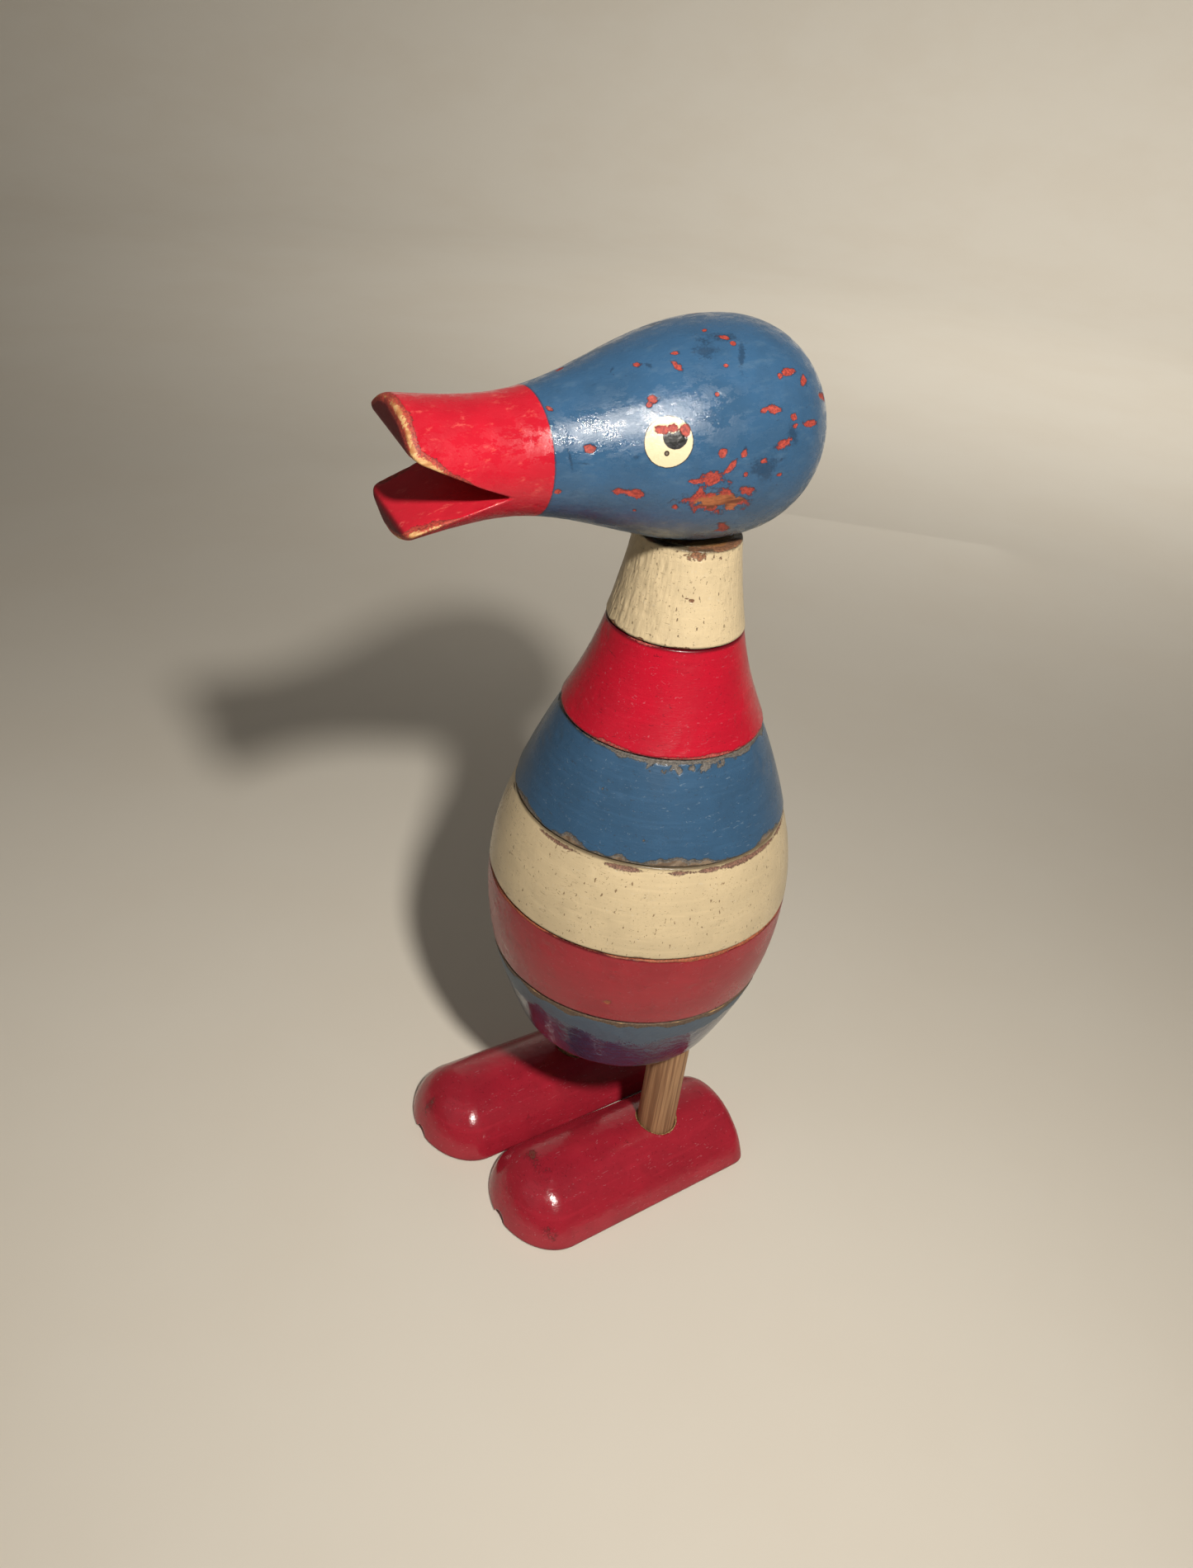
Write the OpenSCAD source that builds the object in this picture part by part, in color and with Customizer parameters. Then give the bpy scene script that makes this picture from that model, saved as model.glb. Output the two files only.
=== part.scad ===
// Stacking duck of turned wood: a head and five rings threaded on a spindle,
// which stands in a round-bottomed bowl on two dowel legs and two half-round feet.
// Origin: on the floor, straight below the spindle. +X is the way the bowl and legs
// face, +Y is the duck's left, +Z is up. Millimetres.

/* [Stack heights] */
// Floor to the underside of the bowl
bowl_z = 49.5; // [46:0.5:54]
// Height of the bowl
bowl_h = 29.8; // [26:0.1:34]
// Height of the lower red ring
lower_red_h = 25.1; // [20:0.1:30]
// Height of the cream ring
cream_h = 25.8; // [20:0.1:30]
// Height of the blue ring
blue_h = 25.3; // [20:0.1:30]
// Height of the upper red ring
upper_red_h = 25.5; // [20:0.1:30]
// Height of the cream neck ring
neck_h = 23.6; // [20:0.1:28]

/* [Stack radii] */
// Radius of the bowl's underside
bowl_r = 29.5; // [28.5:0.1:32]
// Radius where the bowl meets the lower red ring
seam_bowl_r = 40.4; // [38:0.1:43]
// Radius where the lower red ring meets the cream ring
seam_lower_r = 42.5; // [40:0.1:45]
// Radius where the cream ring meets the blue ring
seam_cream_r = 36.9; // [34:0.1:39]
// Radius where the blue ring meets the upper red ring
seam_blue_r = 26.8; // [24:0.1:29]
// Radius where the upper red ring meets the neck ring
seam_red_r = 17.7; // [16:0.1:20]
// Radius of the top of the neck ring
neck_r = 13.4; // [12:0.1:15]

/* [Spindle and bores] */
// Radius of the spindle, cut from the same dowel as the legs
spindle_r = 6; // [5:0.1:6.5]
// Height of the spindle's top above the floor
spindle_top = 222; // [216:0.5:226]
// Play between the spindle and a ring's bore
ring_play = 0.5; // [0.3:0.1:1]
// Play between the spindle and the head's bore
head_play = 0.1; // [0.05:0.05:0.5]
// Gap that keeps two stacked pieces apart
seat_gap = 0.3; // [0.2:0.1:0.5]

/* [Head] */
// Radius of the round of the head
head_r = 24.6; // [23:0.1:26]
// Distance from the spindle to the back of the head
head_back = 27.8; // [25:0.1:30]
// Distance from the spindle to the tip of the bill
head_front = 76.2; // [70:0.1:80]
// Distance from the spindle to the narrowest part of the bill
waist_x = 54; // [50:0.5:60]
// Radius of the narrowest part of the bill
waist_r = 12.8; // [12:0.1:14]
// How much wider the bill's tip is than its waist
bill_flare = 2.2; // [1:0.1:3]
// Rounding of the bill's front edge
bill_edge_r = 2.2; // [1:0.1:3]
// Distance from the spindle to the corner of the mouth
mouth_x = 54; // [48:0.5:60]
// Drop of the corner of the mouth below the head's axis
mouth_drop = 2.9; // [0:0.1:4]
// Slope of the upper jaw's cut, degrees
upper_jaw_slope = 25.5; // [15:0.5:28]
// Slope of the lower jaw's cut, degrees
lower_jaw_slope = 16.5; // [12:0.5:24]
// How far the head is turned towards the duck's right, degrees
head_turn = 13; // [0:1:40]
// How far the bill points down, degrees
head_nod = 2.3; // [0:0.1:5]
// How far the mouth is cut out of level, its left side low, degrees
mouth_roll = 9; // [0:1:20]

/* [Legs and feet] */
// Radius of a leg dowel
leg_r = 6; // [5:0.1:6.5]
// Distance of the left leg from the spindle, across the toy
left_leg_y = 22.9; // [20:0.1:23]
// Distance of the right leg from the spindle, across the toy
right_leg_y = 17; // [16:0.1:23]
// Distance of both legs behind the spindle
leg_back = 1.2; // [0:0.1:3]
// Depth of the socket in the bowl for each leg
leg_socket = 17; // [12:0.5:19]
// Play between a leg and its hole in the foot
foot_play = 0.35; // [0.1:0.05:0.6]
// Wood left under the hole in the foot
foot_floor = 3; // [2:0.5:5]
// Radius of the turned foot before it is sawn flat
foot_r = 19.8; // [18:0.1:21]
// Height of the foot
foot_h = 15; // [13:0.1:17]
// Heel to leg axis
heel_x = 25; // [20:0.5:28]
// Leg axis to the start of the rounded toe
toe_x = 41.2; // [36:0.2:45]
// Length of the rounded toe
toe_len = 15.5; // [12:0.5:19]
// Rise of the foot from heel to toe, degrees
foot_rise = 1.6; // [0:0.1:3]
// Turn of the left foot about its leg, toe toward the right, degrees
left_foot_turn = 9.5; // [0:0.5:12]
// Turn of the right foot about its leg, toe toward the right, degrees
right_foot_turn = 10; // [0:0.5:12]

/* [Hidden] */
$fn = 96;
rim_r = 0.8;         // rounding of a ring's rims
bowl_edge_r = 3;     // rounding under the bowl
heel_edge_r = 3.5;   // rounding of the heel's edge
centre_notch_r = 2.4; // half of the lathe centre's hole, left in the toe
cut = 0.01;          // overshoot of a cut past a face
far = 60;            // longer than any cut across the head or foot
lower_red_z = bowl_z + bowl_h;
cream_z = lower_red_z + lower_red_h;
blue_z = cream_z + cream_h;
upper_red_z = blue_z + blue_h;
neck_z = upper_red_z + upper_red_h;
head_z = neck_z + neck_h;
head_axis_z = head_z + seat_gap + head_r - 0.7;
spindle_foot_z = bowl_z + 10;

// Quarter round of radius r about c, from angle a0 to angle a1
function arc(c, r, a0, a1, n = 4) =
    [for (i = [0:n]) let (a = a0 + (a1 - a0) * i / n) [c.x + r * cos(a), c.y + r * sin(a)]];

// Turned side between two seams: a straight taper plus a belly
function side(z0, z1, r0, r1, belly, n = 12) =
    [for (i = [0:n]) let (s = i / n)
        [r0 + (r1 - r0) * s + 4 * belly * s * (1 - s), z0 + (z1 - z0) * s]];

// Solid turned block between two heights, with edge radii at its bottom and top
module turned(z0, z1, r0, r1, belly, bottom_edge, top_edge)
    rotate_extrude()
        polygon(concat(
            [[0, z0]],
            arc([r0 - bottom_edge, z0 + bottom_edge], bottom_edge, -90, 0),
            side(z0 + bottom_edge + cut, z1 - top_edge - cut, r0, r1, belly),
            arc([r1 - top_edge, z1 - top_edge], top_edge, 0, 90),
            [[0, z1]]));

// Ring from one seam to the next, bored for the spindle
module ring(z, h, r0, r1, belly)
    difference() {
        turned(z + seat_gap, z + h, r0, r1, belly, rim_r, rim_r);
        translate([0, 0, z]) cylinder(r = spindle_r + ring_play, h = h + 1);
    }

// Radius of the turned head at distance x along its axis
function head_radius(x) =
    x < 0 ? head_r * sqrt(max(0, 1 - pow(-x / head_back, 2.5)))
    : x < waist_x ? waist_r + (head_r - waist_r) * (1 + cos(180 * x / waist_x)) / 2
    : waist_r + bill_flare * pow((x - waist_x) / (head_front - waist_x), 1.7);

// Outline of the turned head, from the back to the bill's end face
function head_outline() =
    let (back_n = 14, front_n = 24, x_end = head_front - bill_edge_r)
    concat(
        [for (i = [0:back_n - 1]) let (x = -head_back * cos(90 * i / back_n)) [x, head_radius(x)]],
        [for (i = [0:front_n]) let (x = x_end * i / front_n) [x, head_radius(x)]],
        [for (p = arc([x_end, head_radius(x_end) - bill_edge_r], bill_edge_r, 75, 0)) p],
        [[head_front, 0]]);

// Wedge sawn out of the bill
module mouth_cut()
    rotate([90, 0, 0])
        translate([mouth_x, -mouth_drop, -far / 2])
            linear_extrude(height = far)
                polygon([[0, 0], [far, -far * tan(lower_jaw_slope)], [far, far * tan(upper_jaw_slope)]]);

module head()
    color("steelblue")
    difference() {
        translate([0, 0, head_axis_z]) rotate([0, 0, -head_turn]) rotate([0, head_nod, 0])
            difference() {
                rotate([0, 90, 0]) rotate_extrude()
                    polygon([for (p = head_outline()) [p.y, p.x]]);
                rotate([-mouth_roll, 0, 0]) mouth_cut();
            }
        // small flat that sits on the neck ring
        translate([-far / 2, -far / 2, head_z + seat_gap - far]) cube(far);
        cylinder(r = spindle_r + head_play, h = spindle_top + 1.5);
    }

module neck_ring()
    color("wheat") ring(neck_z, neck_h, seam_red_r, neck_r, -0.3);

module upper_red_ring()
    color("crimson") ring(upper_red_z, upper_red_h, seam_blue_r, seam_red_r, -0.8);

module blue_ring()
    color("steelblue") ring(blue_z, blue_h, seam_cream_r, seam_blue_r, 0.4);

module cream_ring()
    color("wheat") ring(cream_z, cream_h, seam_lower_r, seam_cream_r, 1.1);

module lower_red_ring()
    color("firebrick") ring(lower_red_z, lower_red_h, seam_bowl_r, seam_lower_r, 0.75);

module base_bowl()
    color("steelblue")
    difference() {
        turned(bowl_z, bowl_z + bowl_h, bowl_r, seam_bowl_r, 0.8, bowl_edge_r, rim_r);
        translate([0, 0, spindle_foot_z]) cylinder(r = spindle_r, h = bowl_h);
        for (y = [-right_leg_y, left_leg_y])
            translate([-leg_back, y, bowl_z - 1]) cylinder(r = leg_r, h = leg_socket + 1);
    }

// Dowel with slightly broken edges
module dowel(r, z0, z1)
    rotate_extrude()
        polygon([[0, z0], [r - 0.5, z0], [r, z0 + 0.5], [r, z1 - 0.5], [r - 0.5, z1], [0, z1]]);

module spindle()
    color("burlywood") dowel(spindle_r, spindle_foot_z, spindle_top);

module leg(y)
    translate([-leg_back, y, 0]) dowel(leg_r, foot_floor, bowl_z + leg_socket);

module left_leg()
    color("burlywood") leg(left_leg_y);

module right_leg()
    color("burlywood") leg(-right_leg_y);

// Outline of the turned foot along its length, from the heel to the toe
function foot_outline() =
    concat(
        [[0, -heel_x]],
        arc([foot_r - heel_edge_r, -heel_x + heel_edge_r], heel_edge_r, -90, 0),
        [for (i = [0:11]) let (a = 90 * i / 12) [foot_r * cos(a), toe_x + toe_len * sin(a)]],
        [[0, toe_x + toe_len]]);

// Half-round foot about its leg: a turned bar sawn flat underneath
module foot(y, turn)
    translate([-leg_back, y, 0]) rotate([0, 0, -turn])
        difference() {
            translate([0, 0, foot_h - foot_r]) rotate([0, 90 - foot_rise, 0])
                rotate_extrude() polygon(foot_outline());
            translate([-2 * far, -far, -2 * far]) cube([4 * far, 2 * far, 2 * far]);
            translate([0, 0, foot_floor]) cylinder(r = leg_r + foot_play, h = foot_h);
            translate([toe_x + toe_len - 2.5, 0, 0]) rotate([0, 90, 0])
                cylinder(r = centre_notch_r, h = 5);
        }

module left_foot()
    color("crimson") foot(left_leg_y, left_foot_turn);

module right_foot()
    color("crimson") foot(-right_leg_y, right_foot_turn);

head();
neck_ring();
upper_red_ring();
blue_ring();
cream_ring();
lower_red_ring();
base_bowl();
spindle();
left_leg();
right_leg();
left_foot();
right_foot();
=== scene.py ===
"""Looks of the stacking duck: turned pieces in worn enamel, on a plain pale floor.

Lengths in the script are millimetres in the part's own frame, and become metres when a mesh is made.
"""
import math

import bmesh
import bpy
import numpy as np
from mathutils import Euler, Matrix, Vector


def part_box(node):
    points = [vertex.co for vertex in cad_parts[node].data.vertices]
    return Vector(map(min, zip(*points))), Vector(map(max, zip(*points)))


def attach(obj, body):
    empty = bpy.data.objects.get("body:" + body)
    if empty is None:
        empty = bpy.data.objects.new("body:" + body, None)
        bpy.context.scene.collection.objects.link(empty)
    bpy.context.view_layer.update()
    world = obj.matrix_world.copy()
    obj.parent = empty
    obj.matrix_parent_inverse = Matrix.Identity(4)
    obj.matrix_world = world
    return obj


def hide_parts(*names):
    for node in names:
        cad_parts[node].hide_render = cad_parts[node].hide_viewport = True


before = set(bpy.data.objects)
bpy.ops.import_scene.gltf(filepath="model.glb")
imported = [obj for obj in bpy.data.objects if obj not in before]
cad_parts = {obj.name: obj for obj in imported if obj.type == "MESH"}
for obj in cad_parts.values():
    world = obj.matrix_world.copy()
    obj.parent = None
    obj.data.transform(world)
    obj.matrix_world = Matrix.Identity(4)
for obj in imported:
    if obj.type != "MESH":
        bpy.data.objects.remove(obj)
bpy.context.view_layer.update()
M = 0.001  # one millimetre in metres
COARSE = 1.0


# ------------------------------------------------------------------ small numeric tools

def span(node):
    """Lowest and highest corner of a CAD node, in millimetres."""
    low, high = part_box(node)
    return np.array(low) / M, np.array(high) / M


def value_noise(points, size, seed):
    """Smooth noise from -1 to 1 with cells of that size, the same at every run."""
    grid = np.asarray(points, float) / size + seed * 17.31
    cell = np.floor(grid).astype(np.int64)
    part = grid - cell
    blend = part * part * (3 - 2 * part)
    total = np.zeros(len(grid))
    for corner in range(8):
        step = np.array([corner & 1, corner >> 1 & 1, corner >> 2 & 1])
        x, y, z = ((cell + step) * (73856093, 19349663, 83492791)).T
        mixed = (x ^ y ^ z ^ seed * 2654435761) & 0xFFFFFFFF
        mixed = (mixed ^ mixed >> 15) * 2246822519 & 0xFFFFFFFF
        mixed = (mixed ^ mixed >> 13) * 3266489917 & 0xFFFFFFFF
        height = (mixed & 0xFFFF) / 32767.5 - 1
        total += height * np.prod(np.where(step, blend, 1 - blend), axis=1)
    return total


def fractal(points, size, seed, octaves=3):
    """Several octaves of value noise, about -1 to 1."""
    total, strength, weight = 0, 1.0, 0.0
    for octave in range(octaves):
        total = total + strength * value_noise(points, size / 2**octave, seed + octave)
        weight += strength
        strength *= 0.5
    return total / weight * 1.4


def smooth_step(value, low, high):
    part = np.clip((value - low) / (high - low), 0, 1)
    return part * part * (3 - 2 * part)


def smooth_max(a, b, k):
    """The larger of two fields, with a fillet of about k where they cross."""
    h = np.clip(0.5 + 0.5 * (a - b) / k, 0, 1)
    return a * h + b * (1 - h) + k * h * (1 - h)


def gradient_of(field, points, step=0.02):
    """Gradient of a field by central differences."""
    gradient = np.empty_like(points)
    for axis in range(3):
        shift = np.zeros(3)
        shift[axis] = step
        gradient[:, axis] = (field(points + shift) - field(points - shift)) / (2 * step)
    return gradient


# ------------------------------------------------------------------ meshes

def new_object(name, mesh):
    piece = bpy.data.objects.new(name, mesh)
    bpy.context.scene.collection.objects.link(piece)
    return piece


def set_field(mesh, name, values):
    """Stores one number a vertex, for the materials to read."""
    layer = mesh.attributes.new(name, "FLOAT", "POINT")
    layer.data.foreach_set("value", np.asarray(values, np.float32))


def set_place(mesh, places):
    """Stores where each vertex is in the piece's own frame, in millimetres."""
    layer = mesh.attributes.new("place", "FLOAT_VECTOR", "POINT")
    layer.data.foreach_set("vector", np.asarray(places, np.float32).ravel())


def corner_arc(centre, radius, start, end, steps=6):
    """Points of a quarter round in the (radius, height) plane, angles in degrees."""
    angles = np.radians(np.linspace(start, end, steps))
    return np.column_stack([centre[0] + radius * np.cos(angles), centre[1] + radius * np.sin(angles)])


def line(start, end, steps):
    share = np.linspace(0, 1, steps)[:, None]
    return np.array(start) * (1 - share) + np.array(end) * share


def lathe(name, outline, segments, axis=(0, 0), closed=True, sink=None):
    """Turns an outline of (radius, height) points about a vertical axis.

    sink(points) gives how far each vertex goes in along its normal. An outline that isn't closed is
    capped at both ends.
    """
    outline = np.asarray(outline, float)
    count = len(outline)
    if closed:
        tangent = np.roll(outline, -1, 0) - np.roll(outline, 1, 0)
    else:
        tangent = np.gradient(outline, axis=0)
    tangent /= np.linalg.norm(tangent, axis=1)[:, None]
    normal = np.column_stack([tangent[:, 1], -tangent[:, 0]])
    angles = np.linspace(0, 2 * math.pi, segments, endpoint=False)
    cos, sin = np.cos(angles)[:, None], np.sin(angles)[:, None]

    def spin(flat):
        heights = np.ones_like(cos) * flat[:, 1]
        return np.stack([cos * flat[:, 0], sin * flat[:, 0], heights], -1).reshape(-1, 3)

    points = spin(outline)
    if sink is not None:
        points = points - spin(normal) * sink(points)[:, None]
    points = points + (*axis, 0)
    ring, along = np.meshgrid(np.arange(segments), np.arange(count if closed else count - 1), indexing="ij")
    ring, along = ring.ravel(), along.ravel()
    ring_next, along_next = (ring + 1) % segments, (along + 1) % count
    faces = np.column_stack([
        ring * count + along, ring_next * count + along,
        ring_next * count + along_next, ring * count + along_next,
    ]).tolist()
    if not closed:
        faces.append((np.arange(segments)[::-1] * count).tolist())
        faces.append((np.arange(segments) * count + count - 1).tolist())
    mesh = bpy.data.meshes.new(name)
    mesh.from_pydata((points * M).tolist(), [], faces)
    mesh.shade_smooth()
    return new_object(name, mesh), points


def carve(name, node, shape, detail, voxel, rounds=5):
    """A fine skin of the node's solid, drawn onto the surface where shape(points) is zero.

    detail(points) then gives how far the skin goes in: chips, dents and the like.
    """
    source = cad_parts[node]
    voxel = voxel * COARSE
    piece = new_object(name, source.data.copy())
    piece.data.materials.clear()
    remesh = piece.modifiers.new("skin", "REMESH")
    remesh.mode = "VOXEL"
    remesh.voxel_size = voxel * M
    bpy.context.view_layer.update()
    skin = bpy.data.meshes.new_from_object(piece.evaluated_get(bpy.context.evaluated_depsgraph_get()))
    piece.modifiers.clear()
    piece.data = skin
    skin.name = name
    points = np.empty(len(skin.vertices) * 3)
    skin.vertices.foreach_get("co", points)
    points = points.reshape(-1, 3) / M
    edges = np.empty(len(skin.edges) * 2, np.int64)
    skin.edges.foreach_get("vertices", edges)
    ends = edges.reshape(-1, 2).T
    degree = np.bincount(edges, minlength=len(points))
    for step in range(rounds):
        gradient = gradient_of(shape, points)
        length = np.maximum(np.linalg.norm(gradient, axis=1), 0.25)
        normal = gradient / length[:, None]
        rise = shape(points) / length
        if step >= rounds - 2:
            rise = rise + detail(points)
        points = points - normal * np.clip(rise, -voxel, voxel)[:, None]
        if step < rounds - 2:
            total = [
                np.bincount(ends[0], points[ends[1], axis], len(points))
                + np.bincount(ends[1], points[ends[0], axis], len(points)) for axis in range(3)
            ]
            slide = np.column_stack(total) / degree[:, None] - points
            slide -= normal * (slide * normal).sum(1)[:, None]
            points = points + 0.5 * slide
    skin.vertices.foreach_set("co", (points * M).ravel())
    skin.update()
    skin.shade_smooth()
    return piece, points


# ------------------------------------------------------------------ shader helpers

def colour(red, green, blue):
    """A colour as it looks on a screen, 0 to 255, made linear for the shader."""
    screen = np.array([red, green, blue]) / 255
    linear = np.where(screen <= 0.04045, screen / 12.92, ((screen + 0.055) / 1.055) ** 2.4)
    return (*linear.tolist(), 1.0)


class Paint:
    """A material's node tree, with short calls for the nodes used here."""

    def __init__(self, name):
        self.material = bpy.data.materials.new(name)
        self.material.use_nodes = True
        self.tree = self.material.node_tree
        self.tree.nodes.clear()
        self.shader = self.tree.nodes.new("ShaderNodeBsdfPrincipled")
        output = self.tree.nodes.new("ShaderNodeOutputMaterial")
        self.tree.links.new(self.shader.outputs["BSDF"], output.inputs["Surface"])
        self.place = self.read("place", "Vector")

    def feed(self, socket, value):
        """Links a node's output to the socket, or sets a plain value on it."""
        if isinstance(value, bpy.types.NodeSocket):
            self.tree.links.new(value, socket)
        elif value is not None:
            socket.default_value = value

    def read(self, name, output="Fac"):
        """A field stored on the mesh."""
        node = self.tree.nodes.new("ShaderNodeAttribute")
        node.attribute_name = name
        return node.outputs[output]

    def math(self, operation, a, b=None):
        node = self.tree.nodes.new("ShaderNodeMath")
        node.operation = operation
        self.feed(node.inputs[0], a)
        self.feed(node.inputs[1], b)
        return node.outputs[0]

    def stretch(self, factors, offset=(0, 0, 0)):
        """The place, scaled by factors and then shifted."""
        node = self.tree.nodes.new("ShaderNodeMapping")
        self.feed(node.inputs["Vector"], self.place)
        node.inputs["Scale"].default_value = factors
        node.inputs["Location"].default_value = offset
        return node.outputs[0]

    def noise(self, vector, scale, detail=3.0, rough=0.55, twist=0.0):
        node = self.tree.nodes.new("ShaderNodeTexNoise")
        self.feed(node.inputs["Vector"], vector)
        node.inputs["Scale"].default_value = scale
        node.inputs["Detail"].default_value = detail
        node.inputs["Roughness"].default_value = rough
        node.inputs["Distortion"].default_value = twist
        return node.outputs["Fac"]

    def band(self, value, low, high, to_low=0.0, to_high=1.0):
        """Soft step from to_low to to_high as value goes from low to high."""
        node = self.tree.nodes.new("ShaderNodeMapRange")
        node.interpolation_type = "SMOOTHSTEP"
        self.feed(node.inputs["Value"], value)
        node.inputs["From Min"].default_value = low
        node.inputs["From Max"].default_value = high
        node.inputs["To Min"].default_value = to_low
        node.inputs["To Max"].default_value = to_high
        return node.outputs["Result"]

    def mix(self, share, a, b):
        """Colour a, going over to colour b as share goes from 0 to 1."""
        node = self.tree.nodes.new("ShaderNodeMix")
        node.data_type = "RGBA"
        self.feed(node.inputs[0], share)
        self.feed(node.inputs[6], a)
        self.feed(node.inputs[7], b)
        return node.outputs[2]

    def away(self, centre):
        """Distance of the place from a point."""
        node = self.tree.nodes.new("ShaderNodeVectorMath")
        node.operation = "DISTANCE"
        self.feed(node.inputs[0], self.place)
        node.inputs[1].default_value = centre
        return node.outputs["Value"]

    def bump(self, height, distance, strength=1.0, under=None):
        node = self.tree.nodes.new("ShaderNodeBump")
        node.inputs["Strength"].default_value = strength
        node.inputs["Distance"].default_value = distance * M
        self.feed(node.inputs["Height"], height)
        self.feed(node.inputs["Normal"], under)
        return node.outputs[0]

    def finish(self, base, roughness, normal):
        self.feed(self.shader.inputs["Base Color"], base)
        self.feed(self.shader.inputs["Roughness"], roughness)
        self.feed(self.shader.inputs["Normal"], normal)
        return self.material


def bare_wood(paint, light, dark, grain=(1, 1, 0.06), scale=0.55, twist=0.4):
    """Colour of softwood whose grain runs along Z unless grain says otherwise."""
    stretched = paint.stretch(grain)
    bands = paint.noise(stretched, scale, 2, 0.5, twist)
    fibres = paint.noise(stretched, 3.5, 2, 0.6)
    tone = paint.band(bands, 0.42, 0.60)
    wood = paint.mix(tone, colour(*light), colour(*dark))
    return paint.mix(paint.band(fibres, 0.35, 0.75, 0.0, 0.45), wood, colour(*(0.72 * np.array(dark))))


def enamel(name, top, undercoat, wood=((196, 160, 110), (150, 104, 62)), grime_and_shade=(70, 55, 45), gloss=0.22,
           mottle=0.3, speck=0.0, fibre=0.0, wave=0.10, dull=None):
    """Brushed enamel over an undercoat on turned wood.

    Reads three fields of the mesh: chip, above 0 where the enamel is gone, wear, above 0 where the
    undercoat is gone as well, and darkening, a field from 0 to 1 that makes the colour darker. With a dull
    colour, the field dull is above 0 where the gloss has gone.
    """
    paint = Paint(name)
    fine = paint.noise(paint.place, 1.9, 4, 0.65)
    jitter = paint.math("SUBTRACT", fine, 0.5)
    chip = paint.math("ADD", paint.read("chip"), paint.math("MULTIPLY", jitter, 1.2))
    wear = paint.math("ADD", paint.read("wear"), paint.math("MULTIPLY", jitter, 1.3))
    gone = paint.band(chip, -0.04, 0.05)
    bare = paint.band(wear, -0.06, 0.10)
    soft = paint.noise(paint.place, 0.09, 4, 0.6)
    brushed = paint.noise(paint.stretch((0.06, 0.06, 0.9)), 1.0, 3, 0.6)
    darker = colour(*(0.78 * np.array(top)))
    tint = paint.mix(paint.band(soft, 0.36, 0.66, 0.0, mottle), colour(*top), darker)
    pale = colour(*np.minimum(255, 1.12 * np.array(top) + 6))
    tint = paint.mix(paint.band(brushed, 0.48, 0.72, 0.0, 0.8 * mottle), tint, pale)
    stain = paint.noise(paint.place, 0.5, 5, 0.75)
    tint = paint.mix(paint.band(stain, 0.62, 0.76, 0.0, 0.4), tint, colour(*grime_and_shade))
    scratch = paint.noise(paint.stretch((1.6, 0.5, 2.6), (5, 3, 1)), 0.8, 2, 0.5, 1.4)
    tint = paint.mix(paint.band(scratch, 0.66, 0.69, 0.0, 0.55), tint, colour(*grime_and_shade))
    light_scratch = paint.noise(paint.stretch((0.5, 1.4, 2.2), (1, 8, 3)), 0.8, 2, 0.5, 1.4)
    scratch_tone = colour(*(0.5 * np.array(top) + 105))
    tint = paint.mix(paint.band(light_scratch, 0.675, 0.70, 0.0, 0.4), tint, scratch_tone)
    if speck:
        specks = paint.noise(paint.stretch((1.2, 1.2, 0.5)), 1.1, 2, 0.5)
        tint = paint.mix(paint.band(specks, 0.80 - speck, 0.83 - speck, 0.0, 0.8), tint, colour(*grime_and_shade))
    # Darker where the darkening field says so: along the rims where the rings and the bowl meet, and along a
    # foot's bottom edge.
    darkening_tone = colour(*(0.55 * np.array(grime_and_shade)))
    tint = paint.mix(paint.math("MULTIPLY", paint.read("darkening"), 0.8), tint, darkening_tone)
    # A dark rim just outside each chip: grime at the broken paint edge, and painted shade of the paint's step
    # there.
    tint = paint.mix(paint.band(chip, -0.30, -0.05, 0.0, 0.4), tint, colour(*grime_and_shade))
    rough = paint.band(soft, 0.3, 0.7, gloss, gloss + 0.10)
    if dull:
        faded = paint.math("ADD", paint.read("dull"), paint.math("MULTIPLY", jitter, 2.5))
        tint = paint.mix(paint.band(faded, -0.1, 0.3, 0.0, 0.75), tint, colour(*dull))
        rough = paint.math("MAXIMUM", rough, paint.band(faded, -0.1, 0.3, 0.0, 0.5))
    dark_undercoat = colour(*(0.62 * np.array(undercoat)))
    under = paint.mix(paint.band(fine, 0.35, 0.65), colour(*undercoat), dark_undercoat)
    base = paint.mix(gone, tint, paint.mix(bare, under, bare_wood(paint, *wood, grain=(0.07, 1, 1))))
    rough = paint.math("MAXIMUM", rough, paint.band(chip, -0.05, 0.05, 0.0, 0.6))
    normal = paint.bump(paint.noise(paint.place, 0.35, 3, 0.5), wave, 0.7)
    normal = paint.bump(paint.noise(paint.stretch((0.5, 0.5, 2.4)), 1.1, 3, 0.6), 0.05, 0.8, normal)
    if fibre:
        grain = paint.noise(paint.stretch((1, 1, 0.14)), 1.1, 3, 0.6)
        normal = paint.bump(grain, fibre, 0.9, normal)
    normal = paint.bump(paint.math("MULTIPLY", gone, -1.0), 0.14, 1.0, normal)
    return paint.finish(base, rough, normal)


def pine_dowel(name):
    """Unpainted dowel with its grain along the stick."""
    paint = Paint(name)
    base = bare_wood(paint, (178, 138, 100), (138, 100, 70), (1, 1, 0.02), 0.9, 0.0)
    grain = paint.noise(paint.stretch((1, 1, 0.05)), 1.8, 3, 0.6)
    normal = paint.bump(grain, 0.12, 0.7)
    return paint.finish(base, 0.62, normal)


# ------------------------------------------------------------------ the stack

BLUE = (56, 89, 120)
CREAM = (212, 192, 155)
RIM = 0.6  # rounding of a ring's rims
SIDE_INSET = 0.12  # how far a ring's side stays inside the CAD solid
BORE_R = 6.5
BARE_EDGE = 3.2  # mean width of the enamel that runs over onto a flat

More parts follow.
